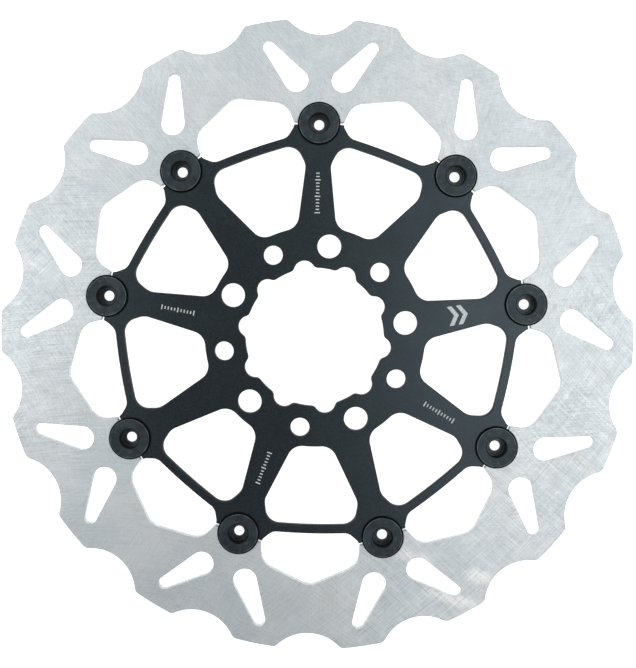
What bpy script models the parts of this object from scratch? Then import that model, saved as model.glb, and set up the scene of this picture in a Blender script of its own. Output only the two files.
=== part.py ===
"""Full-floating wave brake disc of a motorcycle.

A flat friction ring hangs on a hub carrier by nine flanged bobbins. Each bobbin sits half in a notch
of the ring and half in a notch of the carrier. Behind the plates it holds a flat washer and a wave
washer, kept on by a circlip.

Frame: +Z is the wheel axis and points to the flange side. Z = 0 is the plane of the bobbins' tails,
the lowest points of the assembly. Every length below is in millimetres.
"""

import math

import bpy
from mathutils import Vector

MM = 0.001
CHORD_ERROR = 0.12

# Stack along the axis, from the bobbins' tails up.
PLATE_THICKNESS = 5.0
RUNNING_GAP = 0.3
SIDE_GAP = 0.25
TAIL_LIP = 0.8
CIRCLIP_THICKNESS = 0.8
WAVE_THICKNESS = 0.4
WAVE_HEIGHT = 1.0
WASHER_THICKNESS = 0.7
FLANGE_THICKNESS = 1.25

CIRCLIP_BOTTOM = TAIL_LIP + SIDE_GAP
GROOVE_TOP = CIRCLIP_BOTTOM + CIRCLIP_THICKNESS + SIDE_GAP
WAVE_BOTTOM = GROOVE_TOP
WASHER_BOTTOM = WAVE_BOTTOM + WAVE_HEIGHT + SIDE_GAP
PLATE_BOTTOM = WASHER_BOTTOM + WASHER_THICKNESS + RUNNING_GAP
PLATE_TOP = PLATE_BOTTOM + PLATE_THICKNESS
FLANGE_BOTTOM = PLATE_TOP + RUNNING_GAP
FLANGE_TOP = FLANGE_BOTTOM + FLANGE_THICKNESS

# Bobbins.
BOBBIN_COUNT = 9
PITCH = 360.0 / BOBBIN_COUNT
FIRST_BOBBIN = 90.0
BOBBIN_CIRCLE = 104.1
BARREL_RADIUS = 7.0
GROOVE_RADIUS = 6.2
FLANGE_RADIUS = 10.4
FLANGE_CHAMFER = 0.8
POCKET_RADIUS = 4.85
POCKET_CHAMFER = 0.3
LEDGE_HEIGHT = 5.2
LEDGE_RADIUS = 4.15
WEB_TOP = 3.4
WEB_BOTTOM = 2.4
THROUGH_RADIUS = 2.5
BACK_BORE_RADIUS = 4.0
TURNED_STEPS = 20

# Parts that each bobbin holds behind the plates.
WASHER_INNER = 7.3
WASHER_OUTER = 10.2
WAVE_OUTER = 9.8
WAVE_COUNT = 3
WAVE_STEPS = 24
CIRCLIP_INNER = 6.5
CIRCLIP_OUTER = 8.2
CIRCLIP_LUG_OUTER = 9.2
CIRCLIP_OPENING = 36.0
CIRCLIP_LUG_ANGLE = 16.0

# Notches and the split between the ring's ears and the carrier's ears.
NOTCH_RADIUS = 7.3
RING_EAR_END = 104.75
CARRIER_EAR_END = 103.55
EAR_HALF_WIDTH = 12.2
EAR_CORNER = 0.6

# Friction ring. A scallop is an arc cut into the outer edge.
RING_RADIUS = 155.0
SCALLOP_COUNT = 18
SCALLOP_CENTRE = 168.7
SCALLOP_RADIUS = 21.8
SCALLOP_BLEND = 3.5
RING_FLANK_FOOT = (113.95, 16.2)
RING_FLANK_FILLET = 9.0
RING_WINDOW_TOP = 123.5
RING_WINDOW_FILLET = 9.0

# Teardrop slots of the ring, a mirrored pair at each bobbin.
SLOT_WIDE_END = (125.1, 11.55)
SLOT_WIDE_RADIUS = 5.9
SLOT_NARROW_END = (140.9, 25.2)
SLOT_NARROW_RADIUS = 3.0

# Carrier's outer edge. The struts between the ears are slightly crowned.
CARRIER_EAR_FLANK = (102.2, 12.4)
CARRIER_EAR_FLANK_FILLET = 2.0
CARRIER_STRUT_CORNER = (97.1, 15.3)
CARRIER_STRUT_FILLET = 6.0
STRUT_OUTER_CREST = 97.45
STRUT_INNER_CREST = 93.45
STRUT_CREST_FILLET = 280.0

# Carrier's windows between the spokes.
WINDOW_OUTER_CORNER = (94.2, 11.3)
WINDOW_OUTER_FILLET = 7.0
WINDOW_WAIST = (84.3, 6.0)
WINDOW_WAIST_FILLET = 8.5
WINDOW_INNER_CORNER = (53.45, 9.5)
WINDOW_INNER_FILLET = 7.5
WINDOW_HUB_CREST = 54.13
WINDOW_HUB_FILLET = 54.0

# Hub: a bore with ten recesses, and ten holes of two sizes on one circle. One large hole lies on a
# bobbin's radius, so the plate is its own mirror image.
BORE_RADIUS = 34.0
RECESS_COUNT = 10
RECESS_CENTRE = 32.7
RECESS_RADIUS = 5.2
RECESS_BLEND = 3.0
HOLE_CIRCLE = 45.0
HOLE_COUNT = 5
LARGE_HOLE_RADIUS = 5.85
SMALL_HOLE_RADIUS = 4.7
FIRST_LARGE_HOLE = FIRST_BOBBIN - 2.0 * PITCH
FIRST_SMALL_HOLE = FIRST_LARGE_HOLE + 180.0 / HOLE_COUNT
FIRST_RECESS = FIRST_LARGE_HOLE + 180.0 / RECESS_COUNT


# --- Plane geometry. Outlines run anticlockwise seen from +Z. ---


def polar(radius, angle, centre=(0.0, 0.0)):
    """The point at a radius and an angle in degrees from a centre."""
    turn = math.radians(angle)
    return Vector((centre[0] + radius * math.cos(turn), centre[1] + radius * math.sin(turn)))


def arc(centre, radius, start, end):
    """Points on an arc between two angles in degrees, with both ends."""
    widest = math.degrees(2.0 * math.acos(1.0 - CHORD_ERROR / radius))
    steps = max(1, math.ceil(abs(end - start) / widest))
    return [polar(radius, start + (end - start) * i / steps, centre) for i in range(steps + 1)]


def circle(centre, radius):
    return arc(centre, radius, 0.0, 360.0)[:-1]


def heading(vector):
    return math.degrees(math.atan2(vector.y, vector.x))


def fillet(before, corner, after, radius):
    """The arc that rounds a corner between two straight edges."""
    back = (before - corner).normalized()
    ahead = (after - corner).normalized()
    half_angle = back.angle(ahead) / 2.0
    centre = corner + (back + ahead).normalized() * (radius / math.sin(half_angle))
    reach = radius / math.tan(half_angle)
    start = heading(corner + back * reach - centre)
    end = heading(corner + ahead * reach - centre)
    turn = (end - start + 180.0) % 360.0 - 180.0
    return arc(centre, radius, start, start + turn)


def rounded(corners):
    """A closed outline through (point, fillet radius) corners. A radius of 0 keeps the point."""
    outline = []
    for i, (corner, radius) in enumerate(corners):
        if radius == 0.0:
            outline.append(corner)
            continue
        before = corners[i - 1][0]
        after = corners[(i + 1) % len(corners)][0]
        outline.extend(fillet(before, corner, after, radius))
    return outline


def turned(points, angle):
    """Points turned about the axis by an angle in degrees."""
    return [polar(point.length, heading(point) + angle) for point in points]


def turned_corners(corners, angle):
    return [(turned([point], angle)[0], radius) for point, radius in corners]


def mirrored_corners(corners):
    """Corners mirrored in the X axis, in the opposite order."""
    return [(Vector((point.x, -point.y)), radius) for point, radius in reversed(corners)]


def repeated(points, count):
    """One sector's points, repeated around the axis into one closed outline."""
    return [point for k in range(count) for point in turned(points, 360.0 * k / count)]


def law_of_cosines(side_a, side_b, opposite):
    """The angle in degrees between two sides of a triangle."""
    cosine = (side_a**2 + side_b**2 - opposite**2) / (2.0 * side_a * side_b)
    return math.degrees(math.acos(cosine))


def lobed_outline(count, radius, lobe_centre, lobe_radius, blend, side):
    """A circle with arcs cut into it, each blended in at both ends.

    side is -1 for the outer edge of a plate, whose lobes open outwards, and +1 for a bore.
    """
    blend_distance = radius + side * blend
    blend_angle = law_of_cosines(blend_distance, lobe_centre, lobe_radius + blend)
    lobe = Vector((lobe_centre, 0.0))
    lobe_end = heading(polar(blend_distance, blend_angle) - lobe)
    lobe_start = -lobe_end if side > 0 else 360.0 - lobe_end
    on_circle = 180.0 if side > 0 else 0.0
    first_blend = polar(blend_distance, -blend_angle)
    last_blend = polar(blend_distance, blend_angle)
    plain_end = 360.0 / count - blend_angle
    sector = arc(first_blend, blend, on_circle - blend_angle, 180.0 - lobe_end)
    sector += arc(lobe, lobe_radius, lobe_start, lobe_end)[1:-1]
    sector += arc(last_blend, blend, lobe_end - 180.0, blend_angle - on_circle)
    sector += arc((0.0, 0.0), radius, blend_angle, plain_end)[1:-1]
    return repeated(sector, count)


def teardrop(wide_end, wide_radius, narrow_end, narrow_radius):
    """Two circles joined by their outer tangents."""
    axis = Vector(narrow_end) - Vector(wide_end)
    lean = math.degrees(math.acos((wide_radius - narrow_radius) / axis.length))
    along = heading(axis)
    narrow = arc(narrow_end, narrow_radius, along - lean, along + lean)
    wide = arc(wide_end, wide_radius, along + lean, along + 360.0 - lean)
    return narrow + wide


def notched_edge(notch, half, crest):
    """A nine-sector edge: at each bobbin a notch, a mirrored half on both sides, then a crest between."""
    middle = polar(crest[0], PITCH / 2.0)
    sector = mirrored_corners(half) + [(point, 0.0) for point in notch] + half + [(middle, crest[1])]
    corners = [c for k in range(BOBBIN_COUNT) for c in turned_corners(sector, PITCH * k)]
    return rounded(corners)


# --- Outlines of the two plates ---


def ring_inner_edge():
    spread = math.degrees(math.acos((RING_EAR_END - BOBBIN_CIRCLE) / NOTCH_RADIUS))
    notch = arc((BOBBIN_CIRCLE, 0.0), NOTCH_RADIUS, -spread, spread)
    half = [
        (Vector((RING_EAR_END, EAR_HALF_WIDTH)), EAR_CORNER),
        (Vector(RING_FLANK_FOOT), RING_FLANK_FILLET),
    ]
    return notched_edge(notch, half, (RING_WINDOW_TOP, RING_WINDOW_FILLET))


def ring_slots():
    slots = []
    for k in range(BOBBIN_COUNT):
        drop = teardrop(SLOT_WIDE_END, SLOT_WIDE_RADIUS, SLOT_NARROW_END, SLOT_NARROW_RADIUS)
        other = [Vector((point.x, -point.y)) for point in reversed(drop)]
        slots += [turned(drop, PITCH * k), turned(other, PITCH * k)]
    return slots


def carrier_outer_edge():
    spread = math.degrees(math.acos((CARRIER_EAR_END - BOBBIN_CIRCLE) / NOTCH_RADIUS))
    notch = arc((BOBBIN_CIRCLE, 0.0), NOTCH_RADIUS, 360.0 - spread, spread)
    half = [
        (Vector((CARRIER_EAR_END, EAR_HALF_WIDTH)), EAR_CORNER),
        (Vector(CARRIER_EAR_FLANK), CARRIER_EAR_FLANK_FILLET),
        (Vector(CARRIER_STRUT_CORNER), CARRIER_STRUT_FILLET),
    ]
    return notched_edge(notch, half, (STRUT_OUTER_CREST, STRUT_CREST_FILLET))


def carrier_window():
    """The window between the first bobbin's spoke and the next."""
    half = [
        (Vector(WINDOW_INNER_CORNER), WINDOW_INNER_FILLET),
        (Vector(WINDOW_WAIST), WINDOW_WAIST_FILLET),
        (Vector(WINDOW_OUTER_CORNER), WINDOW_OUTER_FILLET),
    ]
    outer_crest = (polar(STRUT_INNER_CREST, PITCH / 2.0), STRUT_CREST_FILLET)
    inner_crest = (polar(WINDOW_HUB_CREST, PITCH / 2.0), WINDOW_HUB_FILLET)
    far_half = turned_corners(mirrored_corners(half), PITCH)
    return rounded(half + [outer_crest] + far_half + [inner_crest])


def hub_holes():
    """The hub's large and small holes, placed about the plate's own centre."""
    holes = []
    for radius, first in ((LARGE_HOLE_RADIUS, FIRST_LARGE_HOLE), (SMALL_HOLE_RADIUS, FIRST_SMALL_HOLE)):
        for k in range(HOLE_COUNT):
            holes.append(circle(polar(HOLE_CIRCLE, first + 360.0 * k / HOLE_COUNT), radius))
    return holes


def circlip_outline():
    """An open ring whose two ends widen into lugs, with the opening at +X."""
    lug_start = CIRCLIP_OPENING / 2.0
    lug_end = lug_start + CIRCLIP_LUG_ANGLE
    centre = (0.0, 0.0)
    outline = arc(centre, CIRCLIP_LUG_OUTER, lug_start, lug_end)
    outline += arc(centre, CIRCLIP_OUTER, lug_end, 360.0 - lug_end)
    outline += arc(centre, CIRCLIP_LUG_OUTER, 360.0 - lug_end, 360.0 - lug_start)
    outline += arc(centre, CIRCLIP_INNER, 360.0 - lug_start, lug_start)
    return outline


# --- Blender objects ---


def new_material(name, colour, metallic, roughness):
    material = bpy.data.materials.new(name)
    material.use_nodes = True
    shader = material.node_tree.nodes["Principled BSDF"]
    shader.inputs["Base Color"].default_value = (*colour, 1.0)
    shader.inputs["Metallic"].default_value = metallic
    shader.inputs["Roughness"].default_value = roughness
    material.diffuse_color = (*colour, 1.0)
    return material


def ground_steel():
    return new_material("ground_steel", (0.62, 0.64, 0.63), 1.0, 0.34)


def black_carrier():
    return new_material("black_carrier", (0.028, 0.033, 0.038), 0.6, 0.5)


def dark_bobbin():
    return new_material("dark_bobbin", (0.04, 0.048, 0.056), 0.8, 0.38)


def spring_steel():
    return new_material("spring_steel", (0.30, 0.30, 0.31), 1.0, 0.4)


def zinc_steel():
    return new_material("zinc_steel", (0.48, 0.49, 0.50), 1.0, 0.36)


def clear_scene():
    for obj in list(bpy.data.objects):
        bpy.data.objects.remove(obj, do_unlink=True)


def new_collection(name):
    collection = bpy.data.collections.new(name)
    bpy.context.scene.collection.children.link(collection)
    return collection


def flat_plate(name, outlines, thickness, material):
    """A 2D curve of closed outlines, filled between them and centred on Z = 0."""
    curve = bpy.data.curves.new(name, "CURVE")
    curve.dimensions = "2D"
    curve.fill_mode = "BOTH"
    curve.extrude = thickness / 2.0 * MM
    for outline in outlines:
        spline = curve.splines.new("POLY")
        spline.points.add(len(outline) - 1)
        for point, place in zip(spline.points, outline):
            point.co = (place.x * MM, place.y * MM, 0.0, 1.0)
        spline.use_cyclic_u = True
    curve.materials.append(material)
    return curve


def turned_profile(name, profile, material):
    """The closed (radius, height) profile of a turned piece, as a loop of edges at +X."""
    mesh = bpy.data.meshes.new(name)
    corners = [(radius * MM, 0.0, height * MM) for radius, height in profile]
    edges = [(i, (i + 1) % len(corners)) for i in range(len(corners))]
    mesh.from_pydata(corners, edges, [])
    mesh.materials.append(material)
    return mesh


def add_screw(obj, steps):
    screw = obj.modifiers.new("turn", "SCREW")
    screw.axis = "Z"
    screw.steps = steps
    screw.render_steps = steps
    screw.use_merge_vertices = True
    screw.merge_threshold = 0.00001
    screw.use_smooth_shade = True


def place(collection, name, data, height, parent=None):
    obj = bpy.data.objects.new(name, data)
    collection.objects.link(obj)
    obj.location = (0.0, 0.0, height * MM)
    obj.parent = parent
    return obj


def evaluated_mesh(obj):
    """A mesh of the object with its modifiers applied."""
    graph = bpy.context.evaluated_depsgraph_get()
    return bpy.data.meshes.new_from_object(obj.evaluated_get(graph))


# --- Sub-parts ---


def brake_ring(collection):
    outer = lobed_outline(SCALLOP_COUNT, RING_RADIUS, SCALLOP_CENTRE, SCALLOP_RADIUS, SCALLOP_BLEND, -1)
    outlines = [outer, ring_inner_edge()] + ring_slots()
    outlines = [turned(outline, FIRST_BOBBIN) for outline in outlines]
    plate = flat_plate("brake_ring", outlines, PLATE_THICKNESS, ground_steel())
    return place(collection, "brake_ring", plate, PLATE_BOTTOM + PLATE_THICKNESS / 2.0)


def carrier(collection):
    windows = [turned(carrier_window(), PITCH * k) for k in range(BOBBIN_COUNT)]
    spider = [turned(outline, FIRST_BOBBIN) for outline in [carrier_outer_edge()] + windows]
    bore = lobed_outline(RECESS_COUNT, BORE_RADIUS, RECESS_CENTRE, RECESS_RADIUS, RECESS_BLEND, 1)
    hub = [turned(bore, FIRST_RECESS)] + hub_holes()
    plate = flat_plate("carrier", spider + hub, PLATE_THICKNESS, black_carrier())
    return place(collection, "carrier", plate, PLATE_BOTTOM + PLATE_THICKNESS / 2.0)


def bobbin_mesh():
    """A flanged sleeve with a circlip groove near its tail.

    A stepped pocket in front and a short bore behind leave a thin web with a hole between them.
    """
    profile = [
        (POCKET_RADIUS + POCKET_CHAMFER, FLANGE_TOP),
        (FLANGE_RADIUS - FLANGE_CHAMFER, FLANGE_TOP),
        (FLANGE_RADIUS, FLANGE_TOP - FLANGE_CHAMFER),
        (FLANGE_RADIUS, FLANGE_BOTTOM),
        (BARREL_RADIUS, FLANGE_BOTTOM),
        (BARREL_RADIUS, GROOVE_TOP),
        (GROOVE_RADIUS, GROOVE_TOP),
        (GROOVE_RADIUS, TAIL_LIP),
        (BARREL_RADIUS, TAIL_LIP),
        (BARREL_RADIUS, 0.0),
        (BACK_BORE_RADIUS, 0.0),
        (BACK_BORE_RADIUS, WEB_BOTTOM),
        (THROUGH_RADIUS, WEB_BOTTOM),
        (THROUGH_RADIUS, WEB_TOP),
        (LEDGE_RADIUS, WEB_TOP),
        (LEDGE_RADIUS, LEDGE_HEIGHT),
        (POCKET_RADIUS, LEDGE_HEIGHT),
        (POCKET_RADIUS, FLANGE_TOP - POCKET_CHAMFER),
    ]
    return turned_profile("bobbin", profile, dark_bobbin())


def washer_profile(outer, thickness):
    """A washer's section, down its outer side first, centred on Z = 0."""
    half = thickness / 2.0
    return [(outer, half), (outer, -half), (WASHER_INNER, -half), (WASHER_INNER, half)]


def wave_washer_mesh(collection):
    """A flat spring washer bent into equal crests and troughs around its circle."""
    flat = turned_profile("wave_blank", washer_profile(WAVE_OUTER, WAVE_THICKNESS), spring_steel())
    blank = place(collection, "wave_blank", flat, 0.0)
    add_screw(blank, WAVE_STEPS)
    mesh = evaluated_mesh(blank)
    bpy.data.objects.remove(blank, do_unlink=True)
    swing = (WAVE_HEIGHT - WAVE_THICKNESS) / 2.0 * MM
    for vertex in mesh.vertices:
        around = math.atan2(vertex.co.y, vertex.co.x)
        vertex.co.z += swing * math.cos(WAVE_COUNT * around)
    return mesh


def bobbin_axis(collection, number):
    """An empty on the bobbin's own axis, turned so that its X points away from the wheel axis."""
    angle = FIRST_BOBBIN + PITCH * (number - 1)
    axis = bpy.data.objects.new(f"bobbin_{number}_axis", None)
    collection.objects.link(axis)
    spot = polar(BOBBIN_CIRCLE, angle)
    axis.location = (spot.x * MM, spot.y * MM, 0.0)
    axis.rotation_euler = (0.0, 0.0, math.radians(angle))
    return axis


def bobbin_sets(collection):
    """Each bobbin with its washer, wave washer and circlip, on an empty of their own."""
    sleeve = bobbin_mesh()
    washer = turned_profile("flat_washer", washer_profile(WASHER_OUTER, WASHER_THICKNESS), zinc_steel())
    wave = wave_washer_mesh(collection)
    clip = flat_plate("circlip", [circlip_outline()], CIRCLIP_THICKNESS, spring_steel())
    for number in range(1, BOBBIN_COUNT + 1):
        axis = bobbin_axis(collection, number)
        bobbin = place(collection, f"bobbin_{number}", sleeve, 0.0, axis)
        add_screw(bobbin, TURNED_STEPS)
        washer_height = WASHER_BOTTOM + WASHER_THICKNESS / 2.0
        flat = place(collection, f"flat_washer_{number}", washer, washer_height, axis)
        add_screw(flat, TURNED_STEPS)
        place(collection, f"wave_washer_{number}", wave, WAVE_BOTTOM + WAVE_HEIGHT / 2.0, axis)
        place(collection, f"circlip_{number}", clip, CIRCLIP_BOTTOM + CIRCLIP_THICKNESS / 2.0, axis)


def main():
    clear_scene()
    disc = new_collection("brake_disc")
    brake_ring(disc)
    carrier(disc)
    bobbin_sets(disc)


main()
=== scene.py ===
"""Looks of a full-floating wave brake disc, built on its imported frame.

Every piece is made again with the outlines of part.py, at a finer chord and with broken edges,
and gets a procedural material. Lengths are in millimetres until a mesh is made. +Z is the wheel
axis and points to the flange side.
"""

import math

import bpy
from mathutils import Matrix, Vector
from mathutils.geometry import tessellate_polygon


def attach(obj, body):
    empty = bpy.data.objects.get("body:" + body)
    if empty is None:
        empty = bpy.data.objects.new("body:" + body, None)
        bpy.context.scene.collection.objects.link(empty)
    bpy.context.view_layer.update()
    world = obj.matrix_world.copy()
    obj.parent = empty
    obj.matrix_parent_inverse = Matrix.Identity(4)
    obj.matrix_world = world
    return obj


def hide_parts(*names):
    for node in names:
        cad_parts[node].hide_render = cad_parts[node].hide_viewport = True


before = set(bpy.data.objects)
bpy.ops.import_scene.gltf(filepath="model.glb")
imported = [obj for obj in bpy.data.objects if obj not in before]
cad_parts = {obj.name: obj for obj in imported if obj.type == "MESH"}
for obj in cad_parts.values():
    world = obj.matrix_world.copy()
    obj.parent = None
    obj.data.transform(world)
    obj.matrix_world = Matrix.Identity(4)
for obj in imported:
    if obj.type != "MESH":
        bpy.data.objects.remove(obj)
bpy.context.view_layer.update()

MM = 0.001

# How far a chord may stand off its arc, and how many faces round an edge.
CHORD_ERROR = 0.012
EDGE_STEPS = 3

# Stack along the axis, as in part.py.
CIRCLIP_BOTTOM = 1.05
CIRCLIP_THICKNESS = 0.8
WAVE_BOTTOM = 2.1
WAVE_THICKNESS = 0.4
WAVE_HEIGHT = 1.0
WASHER_BOTTOM = 3.35
WASHER_THICKNESS = 0.7
PLATE_BOTTOM = 4.35
PLATE_TOP = 9.35
FLANGE_BOTTOM = 9.65
FLANGE_TOP = 10.9

# Plates, as in part.py.
BOBBIN_COUNT = 9
PITCH = 360.0 / BOBBIN_COUNT
FIRST_BOBBIN = 90.0
BOBBIN_CIRCLE = 104.1
NOTCH_RADIUS = 7.3
RING_EAR_END = 104.75
CARRIER_EAR_END = 103.55
EAR_HALF_WIDTH = 12.2
EAR_CORNER = 0.6
RING_RADIUS = 155.0
RING_CORNER = ((113.95, 16.2), 9.0)
RING_CREST = (123.5, 9.0)
SCALLOP_COUNT = 18
SCALLOP_CENTRE = 168.7
SCALLOP_RADIUS = 21.8
SCALLOP_BLEND = 3.5
SLOT_WIDE_END = ((125.1, 11.55), 5.9)
SLOT_NARROW_END = ((140.9, 25.2), 3.0)
CARRIER_SHOULDER = ((102.2, 12.4), 2.0)
CARRIER_CORNER = ((97.1, 15.3), 6.0)
CARRIER_CREST = (97.45, 280.0)
WINDOW_CORNERS = (((53.45, 9.5), 7.5), ((84.3, 6.0), 8.5), ((94.2, 11.3), 7.0))
WINDOW_OUTER_CREST = (93.45, 280.0)
WINDOW_INNER_CREST = (54.13, 54.0)
BORE_RADIUS = 34.0
BORE_LOBE_COUNT = 10
BORE_LOBE_CENTRE = 32.7
BORE_LOBE_RADIUS = 5.2
BORE_BLEND = 3.0
HOLE_CIRCLE = 45.0
HOLE_COUNT = 5
LARGE_HOLE_RADIUS = 5.85
SMALL_HOLE_RADIUS = 4.7
FIRST_LARGE_HOLE = FIRST_BOBBIN - 2.0 * PITCH

# Bobbins and what they hold, as in part.py.
BARREL_RADIUS = 7.0
GROOVE_RADIUS = 6.2
TAIL_LIP = 0.8
FLANGE_RADIUS = 10.4
FLANGE_CHAMFER = 0.8
POCKET_RADIUS = 4.85
POCKET_CHAMFER = 0.3
LEDGE_HEIGHT = 5.2
LEDGE_RADIUS = 4.15
WEB_TOP = 3.4
WEB_BOTTOM = 2.4
THROUGH_RADIUS = 2.5
BACK_BORE_RADIUS = 4.0
WASHER_INNER = 7.3
WASHER_OUTER = 10.2
WAVE_OUTER = 9.8
WAVE_COUNT = 3.0
CLIP_INNER = 6.5
CLIP_OUTER = 8.2
LUG_OUTER = 9.2
LUG_START = 18.0
LUG_END = 34.0
PLIER_HOLE_PLACE = (7.95, 26.0)
PLIER_HOLE_RADIUS = 0.55

# Faces round a turned piece, and round the wave washer.
TURNED_STEPS = 96
WAVE_STEPS = 108

# Broken edges of the visual pieces.
RING_EDGE = 0.22
CARRIER_EDGE = 0.3
WASHER_EDGE = 0.1


# --- Plane geometry. Outlines run anticlockwise seen from +Z. ---


def polar(radius, angle, centre=(0.0, 0.0)):
    """The point at a radius and an angle in degrees from a centre."""
    turn = math.radians(angle)
    return Vector((centre[0] + radius * math.cos(turn), centre[1] + radius * math.sin(turn)))


def arc(centre, radius, start, end):
    """Points on an arc between two angles in degrees, with both ends."""
    widest = math.degrees(2.0 * math.acos(max(0.0, 1.0 - CHORD_ERROR / radius)))
    steps = max(1, math.ceil(abs(end - start) / widest))
    return [polar(radius, start + (end - start) * i / steps, centre) for i in range(steps + 1)]


def circle(centre, radius):
    return arc(centre, radius, 0.0, 360.0)[:-1]


def heading(vector):
    return math.degrees(math.atan2(vector.y, vector.x))


def fillet(before, corner, after, radius):
    """The arc that rounds a corner between two straight edges."""
    back = (before - corner).normalized()
    ahead = (after - corner).normalized()
    half_angle = back.angle(ahead) / 2.0
    centre = corner + (back + ahead).normalized() * (radius / math.sin(half_angle))
    reach = radius / math.tan(half_angle)
    start = heading(corner + back * reach - centre)
    end = heading(corner + ahead * reach - centre)
    turn = (end - start + 180.0) % 360.0 - 180.0
    return arc(centre, radius, start, start + turn)


def rounded(corners):
    """A closed outline through (point, fillet radius) corners. A radius of 0 keeps the point."""
    outline = []
    for i, (corner, radius) in enumerate(corners):
        if radius == 0.0:
            outline.append(corner)
            continue
        before = corners[i - 1][0]
        after = corners[(i + 1) % len(corners)][0]
        outline.extend(fillet(before, corner, after, radius))
    return outline


def turned(points, angle):
    """Points turned about the axis by an angle in degrees."""
    return [polar(point.length, heading(point) + angle) for point in points]


def vector_corners(*corners):
    """((x, y), fillet radius) corners with their points as vectors."""
    return [(Vector(point), radius) for point, radius in corners]


def turned_corners(corners, angle):
    return [(turned([point], angle)[0], radius) for point, radius in corners]


def mirrored_corners(corners):
    """Corners mirrored in the X axis, in the opposite order."""
    return [(Vector((point.x, -point.y)), radius) for point, radius in reversed(corners)]


def repeated(points, count):
    """One sector's points, repeated around the axis into one closed outline."""
    return [point for k in range(count) for point in turned(points, 360.0 * k / count)]


def law_of_cosines(side_a, side_b, opposite):
    """The angle in degrees between two sides of a triangle."""
    cosine = (side_a**2 + side_b**2 - opposite**2) / (2.0 * side_a * side_b)
    return math.degrees(math.acos(cosine))


def lobed_outline(count, radius, lobe_centre, lobe_radius, blend, side):
    """A circle with arcs cut into it, each blended in.

    side is -1 for a plate's edge and +1 for a bore.
    """
    blend_distance = radius + side * blend
    blend_angle = law_of_cosines(blend_distance, lobe_centre, lobe_radius + blend)
    lobe = Vector((lobe_centre, 0.0))
    lobe_end = heading(polar(blend_distance, blend_angle) - lobe)
    lobe_start = -lobe_end if side > 0 else 360.0 - lobe_end
    on_circle = 180.0 if side > 0 else 0.0
    first_blend = polar(blend_distance, -blend_angle)
    last_blend = polar(blend_distance, blend_angle)
    plain_end = 360.0 / count - blend_angle
    sector = arc(first_blend, blend, on_circle - blend_angle, 180.0 - lobe_end)
    sector += arc(lobe, lobe_radius, lobe_start, lobe_end)[1:-1]
    sector += arc(last_blend, blend, lobe_end - 180.0, blend_angle - on_circle)
    sector += arc((0.0, 0.0), radius, blend_angle, plain_end)[1:-1]
    return repeated(sector, count)


def teardrop(wide_end, wide_radius, narrow_end, narrow_radius):
    """Two circles joined by their outer tangents."""
    axis = Vector(narrow_end) - Vector(wide_end)
    lean = math.degrees(math.acos((wide_radius - narrow_radius) / axis.length))
    along = heading(axis)
    narrow = arc(narrow_end, narrow_radius, along - lean, along + lean)
    wide = arc(wide_end, wide_radius, along + lean, along + 360.0 - lean)
    return narrow + wide


def notched_edge(notch, half, crest):
    """An edge of nine sectors: a notch, a half on both sides of it, then a crest."""
    middle = polar(crest[0], PITCH / 2.0)
    sector = mirrored_corners(half) + [(point, 0.0) for point in notch] + half
    sector.append((middle, crest[1]))
    corners = [c for k in range(BOBBIN_COUNT) for c in turned_corners(sector, PITCH * k)]
    return rounded(corners)


# --- Outlines of the plates ---


def ring_outlines():
    outer = lobed_outline(
        SCALLOP_COUNT, RING_RADIUS, SCALLOP_CENTRE, SCALLOP_RADIUS, SCALLOP_BLEND, -1
    )
    spread = math.degrees(math.acos((RING_EAR_END - BOBBIN_CIRCLE) / NOTCH_RADIUS))
    notch = arc((BOBBIN_CIRCLE, 0.0), NOTCH_RADIUS, -spread, spread)
    half = vector_corners(((RING_EAR_END, EAR_HALF_WIDTH), EAR_CORNER), RING_CORNER)
    holes = [notched_edge(notch, half, RING_CREST)]
    for k in range(BOBBIN_COUNT):
        drop = teardrop(*SLOT_WIDE_END, *SLOT_NARROW_END)
        other = [Vector((point.x, -point.y)) for point in reversed(drop)]
        holes += [turned(drop, PITCH * k), turned(other, PITCH * k)]
    return turned(outer, FIRST_BOBBIN), [turned(hole, FIRST_BOBBIN) for hole in holes]


def carrier_window():
    """The window between the first bobbin's spoke and the next."""
    half = vector_corners(*WINDOW_CORNERS)
    outer_crest = (polar(WINDOW_OUTER_CREST[0], PITCH / 2.0), WINDOW_OUTER_CREST[1])
    inner_crest = (polar(WINDOW_INNER_CREST[0], PITCH / 2.0), WINDOW_INNER_CREST[1])
    far_half = turned_corners(mirrored_corners(half), PITCH)
    return rounded(half + [outer_crest] + far_half + [inner_crest])


def carrier_outlines():
    spread = math.degrees(math.acos((CARRIER_EAR_END - BOBBIN_CIRCLE) / NOTCH_RADIUS))
    notch = arc((BOBBIN_CIRCLE, 0.0), NOTCH_RADIUS, 360.0 - spread, spread)
    ear = ((CARRIER_EAR_END, EAR_HALF_WIDTH), EAR_CORNER)
    half = vector_corners(ear, CARRIER_SHOULDER, CARRIER_CORNER)
    outer = turned(notched_edge(notch, half, CARRIER_CREST), FIRST_BOBBIN)
    holes = [turned(carrier_window(), PITCH * k + FIRST_BOBBIN) for k in range(BOBBIN_COUNT)]
    bore = lobed_outline(
        BORE_LOBE_COUNT, BORE_RADIUS, BORE_LOBE_CENTRE, BORE_LOBE_RADIUS, BORE_BLEND, 1
    )
    holes.append(turned(bore, FIRST_LARGE_HOLE + 18.0))
    first_small_hole = FIRST_LARGE_HOLE + 36.0
    rows = ((LARGE_HOLE_RADIUS, FIRST_LARGE_HOLE), (SMALL_HOLE_RADIUS, first_small_hole))
    for radius, first in rows:
        for k in range(HOLE_COUNT):
            holes.append(circle(polar(HOLE_CIRCLE, first + 360.0 * k / HOLE_COUNT), radius))
    return outer, holes


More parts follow.
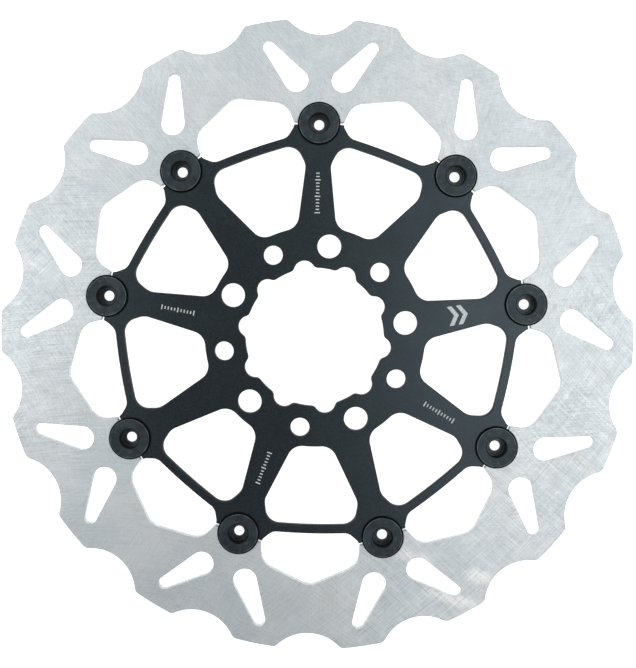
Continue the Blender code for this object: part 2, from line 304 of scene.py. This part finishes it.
def circlip_outlines():
    """An open ring with two lugs, each with a hole for the pliers."""
    centre = (0.0, 0.0)
    outline = arc(centre, LUG_OUTER, LUG_START, LUG_END)
    outline += arc(centre, CLIP_OUTER, LUG_END, 360.0 - LUG_END)
    outline += arc(centre, LUG_OUTER, 360.0 - LUG_END, 360.0 - LUG_START)
    outline += arc(centre, CLIP_INNER, 360.0 - LUG_START, LUG_START)
    radius, angle = PLIER_HOLE_PLACE
    holes = [circle(polar(radius, side * angle), PLIER_HOLE_RADIUS) for side in (1, -1)]
    return outline, holes


# --- Meshes ---


def cleaned(outline, nearest=0.002):
    """The outline without points that repeat their neighbour."""
    kept = []
    for point in outline:
        if not kept or (point - kept[-1]).length > nearest:
            kept.append(point)
    if (kept[0] - kept[-1]).length <= nearest:
        kept.pop()
    return kept


def inset(outline, distance):
    """The outline moved to its left, into the material, by a distance."""
    moved = []
    for i, point in enumerate(outline):
        before = (point - outline[i - 1]).normalized()
        after = (outline[(i + 1) % len(outline)] - point).normalized()
        left = Vector((-before.y - after.y, before.x + after.x))
        stretch = max(0.5, left.length_squared / 2.0)
        moved.append(point + left * (distance / stretch))
    return moved


def plate_mesh(name, outer, holes, bottom, top, edge):
    """A flat plate with holes and rounded edges."""
    loops = [cleaned(outer)] + [cleaned(hole)[::-1] for hole in holes]
    levels = []
    for i in range(EDGE_STEPS + 1):
        turn = math.radians(90.0 * i / EDGE_STEPS)
        levels.append((edge * (1.0 - math.sin(turn)), edge * (1.0 - math.cos(turn))))
    rows = [(depth, top - drop) for depth, drop in levels]
    rows += [(depth, bottom + drop) for depth, drop in reversed(levels)]
    count = sum(len(loop) for loop in loops)
    points = []
    for depth, height in rows:
        for loop in loops:
            points += [(p.x * MM, p.y * MM, height * MM) for p in inset(loop, depth)]
    cap = [[Vector((p.x, p.y, 0.0)) for p in inset(loop, edge)] for loop in loops]
    flat = [p for loop in cap for p in loop]
    faces = []
    for a, b, c in tessellate_polygon(cap):
        up = (flat[b] - flat[a]).cross(flat[c] - flat[a]).z > 0.0
        faces.append((a, b, c) if up else (a, c, b))
    last = count * (len(rows) - 1)
    caps = len(faces) * 2
    faces += [(last + c, last + b, last + a) for a, b, c in faces]
    for row in range(len(rows) - 1):
        start = row * count
        for loop in loops:
            for i in range(len(loop)):
                j = (i + 1) % len(loop)
                faces.append((start + j, start + i, start + count + i, start + count + j))
            start += len(loop)
    mesh = bpy.data.meshes.new(name)
    mesh.from_pydata(points, [], faces)
    mesh.polygons.foreach_set("use_smooth", [i >= caps for i in range(len(faces))])
    mesh.update()
    mark_sharp(mesh, 40.0)
    return mesh


def mark_sharp(mesh, angle):
    """Marks the edges that bend more than an angle in degrees."""
    limit = math.cos(math.radians(angle))
    around = {}
    for face in mesh.polygons:
        for key in face.edge_keys:
            around.setdefault(key, []).append(face.normal)
    for edge in mesh.edges:
        normals = around[edge.key]
        edge.use_edge_sharp = len(normals) == 2 and normals[0].dot(normals[1]) < limit


def lathe_mesh(name, profile, steps):
    """A closed profile turned about Z.

    Its points are (radius, height) and run anticlockwise, with the radius along X.
    """
    outline = cleaned(profile)
    points = []
    for step in range(steps):
        turn = math.radians(360.0 * step / steps)
        for point in outline:
            across = (point.x * math.cos(turn) * MM, point.x * math.sin(turn) * MM)
            points.append((*across, point.y * MM))
    faces = []
    size = len(outline)
    for step in range(steps):
        here, there = step * size, (step + 1) % steps * size
        for i in range(size):
            j = (i + 1) % size
            faces.append((here + i, there + i, there + j, here + j))
    mesh = bpy.data.meshes.new(name)
    mesh.from_pydata(points, [], faces)
    mesh.update()
    slanted = [abs(face.normal.z) < 0.999 for face in mesh.polygons]
    mesh.polygons.foreach_set("use_smooth", slanted)
    mark_sharp(mesh, 35.0)
    return mesh


def bobbin_mesh():
    """The flanged sleeve: (radius, height) corners with the fillet of each broken edge."""
    profile = vector_corners(
        ((POCKET_RADIUS + POCKET_CHAMFER, FLANGE_TOP), 0.06),
        ((POCKET_RADIUS, FLANGE_TOP - POCKET_CHAMFER), 0.06),
        ((POCKET_RADIUS, LEDGE_HEIGHT), 0.0),
        ((LEDGE_RADIUS, LEDGE_HEIGHT), 0.12),
        ((LEDGE_RADIUS, WEB_TOP), 0.0),
        ((THROUGH_RADIUS, WEB_TOP), 0.12),
        ((THROUGH_RADIUS, WEB_BOTTOM), 0.12),
        ((BACK_BORE_RADIUS, WEB_BOTTOM), 0.0),
        ((BACK_BORE_RADIUS, 0.0), 0.2),
        ((BARREL_RADIUS, 0.0), 0.25),
        ((BARREL_RADIUS, TAIL_LIP), 0.08),
        ((GROOVE_RADIUS, TAIL_LIP), 0.0),
        ((GROOVE_RADIUS, WAVE_BOTTOM), 0.0),
        ((BARREL_RADIUS, WAVE_BOTTOM), 0.08),
        ((BARREL_RADIUS, FLANGE_BOTTOM), 0.0),
        ((FLANGE_RADIUS, FLANGE_BOTTOM), 0.15),
        ((FLANGE_RADIUS, FLANGE_TOP - FLANGE_CHAMFER), 0.15),
        ((FLANGE_RADIUS - FLANGE_CHAMFER, FLANGE_TOP), 0.14),
    )
    return lathe_mesh("bobbin", rounded(profile), TURNED_STEPS)


def washer_outline(outer, thickness):
    half = thickness / 2.0
    corners = [(WASHER_INNER, half), (WASHER_INNER, -half), (outer, -half), (outer, half)]
    return rounded([(Vector(corner), WASHER_EDGE) for corner in corners])


def wave_mesh():
    mesh = lathe_mesh("wave_washer", washer_outline(WAVE_OUTER, WAVE_THICKNESS), WAVE_STEPS)
    swing = (WAVE_HEIGHT - WAVE_THICKNESS) / 2.0 * MM
    for vertex in mesh.vertices:
        vertex.co.z += swing * math.cos(WAVE_COUNT * math.atan2(vertex.co.y, vertex.co.x))
    mesh.polygons.foreach_set("use_smooth", [True] * len(mesh.polygons))
    mesh.update()
    return mesh


# --- Materials ---


class Graph:
    """One material's node tree, with short calls for the nodes it uses."""

    def __init__(self, name, metallic, roughness, level=0.5):
        self.material = bpy.data.materials.new(name)
        self.material.use_nodes = True
        self.tree = self.material.node_tree
        self.shader = self.tree.nodes["Principled BSDF"]
        self.shader.inputs["Metallic"].default_value = metallic
        self.shader.inputs["Roughness"].default_value = roughness
        self.shader.inputs["Specular IOR Level"].default_value = level
        self.place = self.tree.nodes.new("ShaderNodeTexCoord").outputs["Object"]

    def feed(self, socket, value):
        if isinstance(value, bpy.types.NodeSocket):
            self.tree.links.new(value, socket)
        else:
            socket.default_value = value

    def math(self, operation, a, b=0.0, clamp=False):
        node = self.tree.nodes.new("ShaderNodeMath")
        node.operation = operation
        node.use_clamp = clamp
        self.feed(node.inputs[0], a)
        self.feed(node.inputs[1], b)
        return node.outputs[0]

    def vector(self, operation, a, b=(0.0, 0.0, 0.0)):
        node = self.tree.nodes.new("ShaderNodeVectorMath")
        node.operation = operation
        self.feed(node.inputs[0], a)
        self.feed(node.inputs[1], b)
        return node.outputs["Value" if operation in ("LENGTH", "DOT_PRODUCT") else "Vector"]

    def combine(self, x, y, z):
        node = self.tree.nodes.new("ShaderNodeCombineXYZ")
        for socket, value in zip(node.inputs, (x, y, z)):
            self.feed(socket, value)
        return node.outputs[0]

    def noise(self, place, scale, detail=2.0, roughness=0.5):
        node = self.tree.nodes.new("ShaderNodeTexNoise")
        self.feed(node.inputs["Vector"], place)
        node.inputs["Scale"].default_value = scale
        node.inputs["Detail"].default_value = detail
        node.inputs["Roughness"].default_value = roughness
        return node.outputs["Fac"]

    def remap(self, value, low, high, to_low=0.0, to_high=1.0):
        node = self.tree.nodes.new("ShaderNodeMapRange")
        node.interpolation_type = "SMOOTHSTEP"
        for socket, number in zip(node.inputs, (value, low, high, to_low, to_high)):
            self.feed(socket, number)
        return node.outputs["Result"]

    def mix(self, share, first, second):
        node = self.tree.nodes.new("ShaderNodeMix")
        node.data_type = "RGBA"
        self.feed(node.inputs["Factor"], share)
        self.feed(node.inputs["A"], first)
        self.feed(node.inputs["B"], second)
        return node.outputs["Result"]

    def scaled(self, colour, factor):
        """A colour times a grey factor."""
        node = self.tree.nodes.new("ShaderNodeVectorMath")
        node.operation = "SCALE"
        self.feed(node.inputs[0], colour[:3] if isinstance(colour, tuple) else colour)
        self.feed(node.inputs["Scale"], factor)
        return node.outputs["Vector"]

    def upright(self):
        """1 on faces that look along Z, 0 on the walls."""
        normal = self.tree.nodes.new("ShaderNodeNewGeometry").outputs["Normal"]
        height = self.vector("DOT_PRODUCT", normal, (0.0, 0.0, 1.0))
        return self.remap(self.math("ABSOLUTE", height), 0.3, 0.9)

    def radius(self):
        flat = self.vector("MULTIPLY", self.place, (1.0, 1.0, 0.0))
        return self.vector("LENGTH", flat)

    def bump(self, height, distance, strength=1.0):
        node = self.tree.nodes.new("ShaderNodeBump")
        node.inputs["Strength"].default_value = strength
        node.inputs["Distance"].default_value = distance
        self.feed(node.inputs["Height"], height)
        self.feed(self.shader.inputs["Normal"], node.outputs["Normal"])

    def colour(self, value):
        self.feed(self.shader.inputs["Base Color"], value)

    def roughness(self, value):
        self.feed(self.shader.inputs["Roughness"], value)


def arc_streaks(graph, towards, distance, width, length, seed):
    """Noise drawn out along arcs about a far centre, in degrees and millimetres."""
    centre = polar(distance * MM, towards)
    inward = -centre.normalized()
    across = Vector((-inward.y, inward.x))
    offset = graph.vector("SUBTRACT", graph.place, (centre.x, centre.y, 0.0))
    offset = graph.vector("MULTIPLY", offset, (1.0, 1.0, 0.0))
    radius = graph.vector("LENGTH", offset)
    forward = graph.vector("DOT_PRODUCT", offset, (inward.x, inward.y, 0.0))
    sideways = graph.vector("DOT_PRODUCT", offset, (across.x, across.y, 0.0))
    angle = graph.math("ARCTAN2", sideways, forward)
    place = graph.combine(
        graph.math("MULTIPLY", radius, 1.0 / (width * MM)),
        graph.math("MULTIPLY", angle, distance / length),
        seed,
    )
    return graph.noise(place, 1.0, 2.0, 0.6)


# Grinding marks: direction of the arcs' centre in degrees, its distance, the width and the length
# of a streak in millimetres, the strength, and the side of the disc that shows them most, in
# degrees.
GRINDING = (
    (203.0, 330.0, 0.42, 11.0, 1.0, 180.0),
    (184.0, 380.0, 0.36, 7.0, 0.9, 150.0),
    (148.0, 310.0, 0.40, 9.0, 0.6, 190.0),
    (252.0, 320.0, 0.46, 17.0, 1.35, 225.0),
    (301.0, 300.0, 0.42, 13.0, 1.3, 265.0),
    (28.0, 360.0, 0.44, 15.0, 1.1, 315.0),
    (138.0, 400.0, 0.44, 12.0, 0.9, 325.0),
    (70.0, 300.0, 0.40, 10.0, 0.8, 60.0),
    (4.0, 520.0, 0.36, 8.0, 0.7, 30.0),
    (97.0, 430.0, 0.36, 9.0, 0.5, 100.0),
)
GRIND_CONTRAST = 0.5

STEEL_SHADE = (0.670, 0.730, 0.760, 1.0)
STEEL_BRIGHT = (0.745, 0.786, 0.799, 1.0)
STEEL_PAINTED_REFLECTION = (1.0, 1.0, 0.985, 1.0)
STEEL_WALL = (0.50, 0.525, 0.53)

# Painted reflection patches on the friction face, bright streaks of a light's reflection: centre,
# half length and half width in millimetres, and direction in degrees.
PAINTED_REFLECTION_PATCHES = (
    ((52.0, -108.0), 9.0, 4.0, -20.0),
    ((84.0, -116.5), 10.0, 4.0, -16.0),
    ((71.0, -127.5), 17.0, 3.4, -15.0),
)


def painted_reflection_share(graph):
    """1 in the middle of a painted reflection patch, 0 outside."""
    total = 0.0
    for centre, half_length, half_width, direction in PAINTED_REFLECTION_PATCHES:
        along = polar(1.0, direction) / (half_length * MM)
        across = polar(1.0, direction + 90.0) / (half_width * MM)
        offset = graph.vector("SUBTRACT", graph.place, (centre[0] * MM, centre[1] * MM, 0.0))
        u = graph.vector("DOT_PRODUCT", offset, (along.x, along.y, 0.0))
        v = graph.vector("DOT_PRODUCT", offset, (across.x, across.y, 0.0))
        reach = graph.vector("LENGTH", graph.combine(u, v, 0.0))
        total = graph.math("ADD", graph.remap(reach, 0.1, 1.3, 1.0, 0.0), total, clamp=True)
    return total


def grinding(graph):
    """The sum of the grinding layers, about 0."""
    total = 0.0
    for seed, (towards, distance, width, length, strength, side) in enumerate(GRINDING):
        streaks = arc_streaks(graph, towards, distance, width, length, 3.7 * seed + 1.3)
        shifted = graph.vector("ADD", graph.place, (0.0, 0.0, 0.31 * seed + 0.1))
        patch = graph.noise(shifted, 24.0, 2.0)
        heart = polar(1.4, side)
        lean = graph.vector("DOT_PRODUCT", graph.place, (heart.x, heart.y, 0.0))
        share = graph.remap(graph.math("ADD", patch, lean), 0.42, 0.78, 0.16, strength)
        wave = graph.math("MULTIPLY", graph.math("SUBTRACT", streaks, 0.5), share)
        total = graph.math("ADD", wave, total)
    return total


def ground_steel():
    graph = Graph("ground_steel", 1.0, 0.45)
    total = grinding(graph)
    cloud = graph.noise(graph.place, 30.0, 4.0, 0.6)
    blotch = graph.noise(graph.vector("ADD", graph.place, (0.9, 0.0, 0.0)), 70.0, 3.0, 0.55)
    grain = graph.math("SUBTRACT", graph.noise(graph.place, 1500.0, 1.0), 0.5)
    tone = graph.math("MULTIPLY", total, GRIND_CONTRAST)
    tone = graph.math("ADD", tone, graph.math("MULTIPLY", grain, 0.09))
    tone = graph.math("ADD", tone, graph.remap(blotch, 0.3, 0.7, -0.035, 0.03))
    steel = graph.mix(graph.remap(cloud, 0.34, 0.62), STEEL_SHADE, STEEL_BRIGHT)
    # Painted reflection: bright streaks of a light's reflection, painted into the base colour and
    # broken up by the grinding.
    painted_reflection = painted_reflection_share(graph)
    broken = graph.remap(graph.math("ADD", total, blotch), 0.2, 0.6, 0.45, 1.0)
    steel = graph.mix(graph.math("MULTIPLY", painted_reflection, broken), steel, STEEL_PAINTED_REFLECTION)
    face = graph.scaled(steel, graph.math("ADD", tone, 1.0))
    # The walls are cut, not ground: fine upright marks, slightly darker.
    stretched = graph.vector("MULTIPLY", graph.place, (1.0, 1.0, 0.04))
    cut = graph.noise(stretched, 2600.0, 2.0)
    wall = graph.scaled(STEEL_WALL, graph.remap(cut, 0.25, 0.75, 0.80, 1.14))
    graph.colour(graph.mix(graph.upright(), wall, face))
    graph.roughness(graph.math("ADD", graph.math("MULTIPLY", total, -0.25), 0.45, clamp=True))
    graph.bump(graph.math("ADD", total, graph.math("MULTIPLY", cut, 0.3)), 0.00002, 0.6)
    return graph.material


# The black finishes stay dark on walls seen at a glancing angle.
EDGE_TINT = (0.4, 0.4, 0.4, 1.0)
CARRIER_FACE = (0.0495, 0.0645, 0.0735)
CARRIER_WALL = (0.008, 0.010, 0.012, 1.0)

# The bobbins' turned parts, with painted shade on walls and chamfers, painted light on the pocket's
# floors and a painted highlight on the face, and where these change, in metres from the bobbin's
# axis.
BOBBIN_WALL_PAINTED_SHADE = (0.0045, 0.0060, 0.0072, 1.0)
BOBBIN_FACE = (0.0450, 0.0570, 0.0650, 1.0)
BOBBIN_FLOOR_PAINTED_LIGHT = (0.085, 0.098, 0.106, 1.0)
BOBBIN_HIGHLIGHT_AND_WEAR = (0.17, 0.19, 0.20, 1.0)
FACE_INNER = (0.00500, 0.00520)
FACE_OUTER = (0.00960, 0.00968)
FLOOR_OUTER = (0.00480, 0.00490)
HIGHLIGHT_LINE = 0.00945


def black_carrier():
    graph = Graph("black_carrier", 0.92, 0.3)
    grain = graph.noise(graph.place, 2300.0, 2.0, 0.6)
    cloud = graph.noise(graph.place, 45.0, 3.0, 0.55)
    speck = graph.noise(graph.vector("ADD", graph.place, (0.4, 0.2, 0.0)), 1100.0, 1.0)
    tone = graph.remap(grain, 0.3, 0.7, 0.92, 1.09)
    tone = graph.math("MULTIPLY", tone, graph.remap(cloud, 0.3, 0.7, 0.93, 1.07))
    tone = graph.math("ADD", tone, graph.remap(speck, 0.66, 0.8, 0.0, 0.2))
    face = graph.scaled(CARRIER_FACE, tone)
    graph.colour(graph.mix(graph.upright(), CARRIER_WALL, face))
    graph.shader.inputs["Specular Tint"].default_value = EDGE_TINT
    graph.roughness(graph.remap(grain, 0.3, 0.7, 0.27, 0.33))
    graph.bump(grain, 0.00001, 0.12)
    return graph.material


def dark_bobbin():
    graph = Graph("dark_bobbin", 0.78, 0.38, 0.2)
    radius = graph.radius()
    rings = graph.noise(graph.combine(graph.math("MULTIPLY", radius, 6000.0), 0.0, 0.0), 1.0, 2.0)
    cloud = graph.noise(graph.place, 170.0, 3.0, 0.6)
    grain = graph.noise(graph.place, 2200.0, 1.0)
    rub = graph.noise(graph.vector("ADD", graph.place, (0.7, 0.0, 0.0)), 420.0, 2.0)
    tone = graph.remap(cloud, 0.3, 0.7, 0.78, 1.26)
    tone = graph.math("MULTIPLY", tone, graph.remap(grain, 0.25, 0.75, 0.82, 1.2))
    tone = graph.math("MULTIPLY", tone, graph.remap(rings, 0.25, 0.75, 0.95, 1.05))
    # The flange's face is satin, the pocket's floors are paler with painted light, and chamfers and
    # walls are near black with painted shade.
    upright = graph.upright()
    facing = graph.math("MULTIPLY", upright, graph.remap(radius, *FACE_INNER))
    facing = graph.math("MULTIPLY", facing, graph.remap(radius, *FACE_OUTER, 1.0, 0.0))
    # Painted light: the pocket's floors are made paler than the face.
    floor = graph.math("MULTIPLY", upright, graph.remap(radius, *FLOOR_OUTER, 1.0, 0.0))
    shade = graph.mix(facing, BOBBIN_WALL_PAINTED_SHADE, BOBBIN_FACE)
    shade = graph.mix(floor, shade, BOBBIN_FLOOR_PAINTED_LIGHT)
    face = graph.scaled(shade, tone)
    # A painted highlight runs along the flange's edge, and the anodising is thin in a few scuffed
    # spots.
    rim = graph.math("ABSOLUTE", graph.math("SUBTRACT", radius, HIGHLIGHT_LINE))
    highlight_and_wear = graph.remap(rim, 0.00007, 0.00027, 1.0, 0.0)
    highlight_and_wear = graph.math("MULTIPLY", highlight_and_wear, graph.remap(cloud, 0.35, 0.65, 0.25, 0.9))
    highlight_and_wear = graph.math("ADD", highlight_and_wear, graph.remap(rub, 0.62, 0.8, 0.0, 0.3), clamp=True)
    highlight_and_wear = graph.math("MULTIPLY", highlight_and_wear, facing)
    graph.colour(graph.mix(highlight_and_wear, face, BOBBIN_HIGHLIGHT_AND_WEAR))
    graph.shader.inputs["Specular Tint"].default_value = EDGE_TINT
    graph.roughness(graph.remap(cloud, 0.3, 0.7, 0.34, 0.44))
    graph.bump(graph.math("ADD", rings, graph.math("MULTIPLY", grain, 0.5)), 0.000012, 0.5)
    return graph.material


def turned_steel(name, base, roughness, tarnish):
    """A small steel part: ring marks, mottling and tarnish."""
    graph = Graph(name, 1.0, roughness)
    radius = graph.radius()
    rings = graph.noise(graph.combine(graph.math("MULTIPLY", radius, 7000.0), 0.0, 0.0), 1.0, 2.0)
    mottle = graph.noise(graph.place, 320.0, 3.0, 0.6)
    patchy = graph.remap(mottle, 0.3, 0.7, 0.85, 1.1)
    tone = graph.math("MULTIPLY", patchy, graph.remap(rings, 0.3, 0.7, 0.9, 1.08))
    steel = graph.scaled(base, tone)
    stain = graph.noise(graph.vector("ADD", graph.place, (0.0, 0.3, 0.0)), 140.0, 2.0)
    graph.colour(graph.mix(graph.remap(stain, 0.5, 0.75, 0.0, 0.55), steel, (*tarnish, 1.0)))
    graph.roughness(graph.remap(mottle, 0.3, 0.7, roughness - 0.06, roughness + 0.1))
    graph.bump(rings, 0.00001, 0.5)
    return graph.material


def etched_white():
    """Laser-etched marks on the black finish."""
    graph = Graph("etched_marks", 0.0, 0.6)
    grain = graph.noise(graph.place, 2400.0, 2.0)
    graph.colour(graph.scaled((0.72, 0.75, 0.76), graph.remap(grain, 0.3, 0.7, 0.75, 1.12)))
    graph.bump(grain, 0.00001, 0.4)
    return graph.material


def studio_floor():
    graph = Graph("studio_floor", 0.0, 0.8, 0.1)
    cloud = graph.noise(graph.place, 3.0, 2.0)
    graph.colour(graph.scaled((0.80, 0.80, 0.80), graph.remap(cloud, 0.3, 0.7, 0.99, 1.01)))
    graph.shader.inputs["Emission Color"].default_value = (1.0, 1.0, 1.0, 1.0)
    graph.shader.inputs["Emission Strength"].default_value = FLOOR_GLOW
    return graph.material


# --- Pieces ---


def add_piece(name, mesh, body, node, location=(0.0, 0.0, 0.0), turn=0.0):
    """Puts a mesh on its CAD body in place of its CAD node."""
    piece = bpy.data.objects.new(name, mesh)
    bpy.context.scene.collection.objects.link(piece)
    piece.location = location
    piece.rotation_euler = (0.0, 0.0, math.radians(turn))
    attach(piece, body)
    if node:
        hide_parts(node)
    return piece


def make_plates():
    outer, holes = ring_outlines()
    ring = plate_mesh("ring", outer, holes, PLATE_BOTTOM, PLATE_TOP, RING_EDGE)
    ring.materials.append(ground_steel())
    add_piece("friction_ring", ring, "ring", "brake_ring")
    outer, holes = carrier_outlines()
    carrier = plate_mesh("spider", outer, holes, PLATE_BOTTOM, PLATE_TOP, CARRIER_EDGE)
    carrier.materials.append(black_carrier())
    add_piece("hub_carrier", carrier, "carrier", "carrier")


def make_bobbin_sets():
    bobbin = bobbin_mesh()
    bobbin.materials.append(dark_bobbin())
    washer = lathe_mesh("washer", washer_outline(WASHER_OUTER, WASHER_THICKNESS), TURNED_STEPS)
    zinc = turned_steel("zinc_steel", (0.50, 0.51, 0.53), 0.34, (0.36, 0.35, 0.33))
    washer.materials.append(zinc)
    spring = turned_steel("spring_steel", (0.32, 0.32, 0.33), 0.36, (0.16, 0.14, 0.13))
    wave = wave_mesh()
    wave.materials.append(spring)
    outer, holes = circlip_outlines()
    half = CIRCLIP_THICKNESS / 2.0
    clip = plate_mesh("clip", outer, holes, -half, half, WASHER_EDGE)
    clip.materials.append(spring)
    for number in range(1, BOBBIN_COUNT + 1):
        angle = FIRST_BOBBIN + PITCH * (number - 1)
        spot = polar(BOBBIN_CIRCLE * MM, angle)
        washer_height = WASHER_BOTTOM + WASHER_THICKNESS / 2.0
        wave_height = WAVE_BOTTOM + WAVE_HEIGHT / 2.0
        rows = (
            ("flanged_bobbin", bobbin, "bobbin", "dark_bobbin", 0.0),
            ("plain_washer", washer, "flat_washer", "zinc_steel", washer_height),
            ("spring_washer", wave, "wave_washer", "spring_steel", wave_height),
            ("retaining_clip", clip, "circlip", "spring_steel", CIRCLIP_BOTTOM + half),
        )
        for name, mesh, node, slot, height in rows:
            place = (spot.x, spot.y, height * MM)
            body = f"bobbin_set_{number}"
            add_piece(f"{name}_{number}", mesh, body, f"{node}_{number}", place, angle)


# Etched marks, in millimetres: how deep they start and how far they stand proud, the bars' step,
# width and the share of a short bar, and the rows (the spoke's angle, first and last bar, half
# length of a long bar).
MARK_DEPTH = 0.02
MARK_PROUD = 0.012
MARK_EDGE = 0.004
TICK_STEP = 1.6
TICK_WIDTH = 0.55
SHORT_TICK = 0.62
TICK_ROWS = (
    (90.0, 60.8, 81.2, 1.35),
    (170.0, 60.5, 77.5, 1.2),
    (250.0, 61.3, 77.8, 1.2),
    (330.0, 63.2, 79.2, 1.3),
)
CHEVRON_SPOKE = 10.0
CHEVRON_STARTS = (66.0, 70.4)
CHEVRON_SHAPE = (2.3, 2.9, 4.7)


def tick(distance, half_length, width):
    """One short bar across a spoke that runs along +X."""
    near, far = distance - width / 2.0, distance + width / 2.0
    corners = [(near, -half_length), (far, -half_length), (far, half_length), (near, half_length)]
    return [Vector(corner) for corner in corners]


def tick_row(first, last, step, half_length):
    """Bars across a spoke. Every fifth is longer."""
    bars = []
    count = int((last - first) / step) + 1
    for i in range(count):
        share = 1.0 if i % 5 == 0 else SHORT_TICK
        bars.append(tick(first + step * i, half_length * share, TICK_WIDTH))
    return bars


def chevron(start, stroke, depth, half_width):
    """A broad V pointing away from the disc's centre."""
    points = [(start, -half_width), (start + stroke, -half_width), (start + stroke + depth, 0.0)]
    points += [(start + stroke, half_width), (start, half_width), (start + depth, 0.0)]
    return [Vector(point) for point in points]


def make_marks():
    """Generic etched marks on five spokes: rows of bars, and two chevrons."""
    finish = etched_white()
    bottom, top = PLATE_TOP - MARK_DEPTH, PLATE_TOP + MARK_PROUD
    groups = []
    for angle, first, last, half in TICK_ROWS:
        groups.append((f"etched_scale_{int(angle)}", angle, tick_row(first, last, TICK_STEP, half)))
    chevrons = [chevron(start, *CHEVRON_SHAPE) for start in CHEVRON_STARTS]
    groups.append(("etched_chevrons", CHEVRON_SPOKE, chevrons))
    for name, angle, outlines in groups:
        points, faces = [], []
        for outline in outlines:
            mesh = plate_mesh("mark", turned(outline, angle), [], bottom, top, MARK_EDGE)
            start = len(points)
            points += [tuple(vertex.co) for vertex in mesh.vertices]
            faces += [tuple(start + i for i in face.vertices) for face in mesh.polygons]
            bpy.data.meshes.remove(mesh)
        mesh = bpy.data.meshes.new(name)
        mesh.from_pydata(points, [], faces)
        mesh.materials.append(finish)
        add_piece(name, mesh, "carrier", None)


# --- Stage ---

# The floor: its own glow, millimetres below the bobbins' tails, and half its side in metres.
FLOOR_GLOW = 0.9
FLOOR_DROP = 0.05
FLOOR_HALF = 3.0

# Softboxes: name, direction in degrees around the axis, tilt from the axis in degrees, diameter in
# metres and watts. They hang on a sphere around the disc.
SOFTBOX_DISTANCE = 1.3
SOFTBOXES = (
    ("key_right", 0.0, 14.0, 0.4, 0.66),
    ("key_upper", 60.0, 14.0, 0.4, 0.22),
    ("key_lower_right", 325.0, 15.0, 0.4, 0.24),
    ("rim_right", 0.0, 32.0, 0.6, 1.45),
    ("rim_upper_right", 60.0, 32.0, 0.6, 1.50),
    ("rim_upper_left", 120.0, 32.0, 0.6, 1.45),
    ("rim_left", 180.0, 32.0, 0.6, 2.75),
    ("rim_lower_left", 240.0, 32.0, 0.6, 0.40),
    ("rim_lower_right", 305.0, 32.0, 0.6, 1.3),
)
SKY_HORIZON = 0.85
SKY_ZENITH = 0.02
SKY_FADE = (0.35, 0.75)


def make_floor():
    mesh = bpy.data.meshes.new("floor")
    half, height = FLOOR_HALF, -FLOOR_DROP * MM
    corners = [(x * half, y * half, height) for x, y in ((-1, -1), (1, -1), (1, 1), (-1, 1))]
    mesh.from_pydata(corners, [], [(0, 1, 2, 3)])
    mesh.materials.append(studio_floor())
    floor = bpy.data.objects.new("floor", mesh)
    bpy.context.scene.collection.objects.link(floor)


def make_lights():
    for name, around, tilt, size, watts in SOFTBOXES:
        light = bpy.data.lights.new(name, "AREA")
        light.shape = "DISK"
        light.size = size
        light.energy = watts
        lamp = bpy.data.objects.new(name, light)
        bpy.context.scene.collection.objects.link(lamp)
        flat = polar(math.sin(math.radians(tilt)), around)
        direction = Vector((flat.x, flat.y, math.cos(math.radians(tilt))))
        lamp.location = direction * SOFTBOX_DISTANCE
        lamp.rotation_euler = direction.to_track_quat("Z", "Y").to_euler()
        lamp.visible_camera = False
    make_sky()


def make_sky():
    """A pale wall all around, and a darker ceiling that leaves the reflections to the softboxes."""
    world = bpy.data.worlds.new("studio")
    world.use_nodes = True
    nodes, links = world.node_tree.nodes, world.node_tree.links
    direction = nodes.new("ShaderNodeTexCoord").outputs["Generated"]
    height = nodes.new("ShaderNodeSeparateXYZ")
    links.new(direction, height.inputs[0])
    fade = nodes.new("ShaderNodeMapRange")
    fade.interpolation_type = "SMOOTHSTEP"
    for socket, number in zip(list(fade.inputs)[1:5], (*SKY_FADE, SKY_HORIZON, SKY_ZENITH)):
        socket.default_value = number
    links.new(height.outputs["Z"], fade.inputs["Value"])
    sky = nodes["Background"]
    sky.inputs["Color"].default_value = (0.97, 0.99, 1.0, 1.0)
    links.new(fade.outputs["Result"], sky.inputs["Strength"])
    bpy.context.scene.world = world


# Camera: where the disc's middle stands before it, in millimetres, and its turn in radians.
CAMERA_DISTANCE = 590.73
CAMERA_OFFSET = (14.93, -2.543)
CAMERA_TURN = (0.0417342, -0.0331407, -0.0201562)
CAMERA_TARGET_HEIGHT = 6.85
LENS = 64.67
SHIFT = (0.0505, -0.0034)


def make_camera():
    rx, ry, rz = CAMERA_TURN
    tilt = Matrix.Rotation(rx, 3, "X") @ Matrix.Rotation(ry, 3, "Y") @ Matrix.Rotation(rz, 3, "Z")
    to_world = tilt.transposed()
    camera = bpy.data.cameras.new("camera")
    camera.sensor_width = 36.0
    camera.lens = LENS
    camera.shift_x, camera.shift_y = SHIFT
    camera.clip_start = 0.01
    camera.clip_end = 20.0
    obj = bpy.data.objects.new("camera", camera)
    bpy.context.scene.collection.objects.link(obj)
    stand = to_world @ Vector((-CAMERA_OFFSET[0], -CAMERA_OFFSET[1], CAMERA_DISTANCE))
    stand.z += CAMERA_TARGET_HEIGHT
    obj.location = stand * MM
    obj.rotation_euler = to_world.to_euler()
    bpy.context.scene.camera = obj


make_camera()
make_plates()
make_bobbin_sets()
make_marks()
make_floor()
make_lights()
bpy.context.scene.view_settings.view_transform = "Standard"
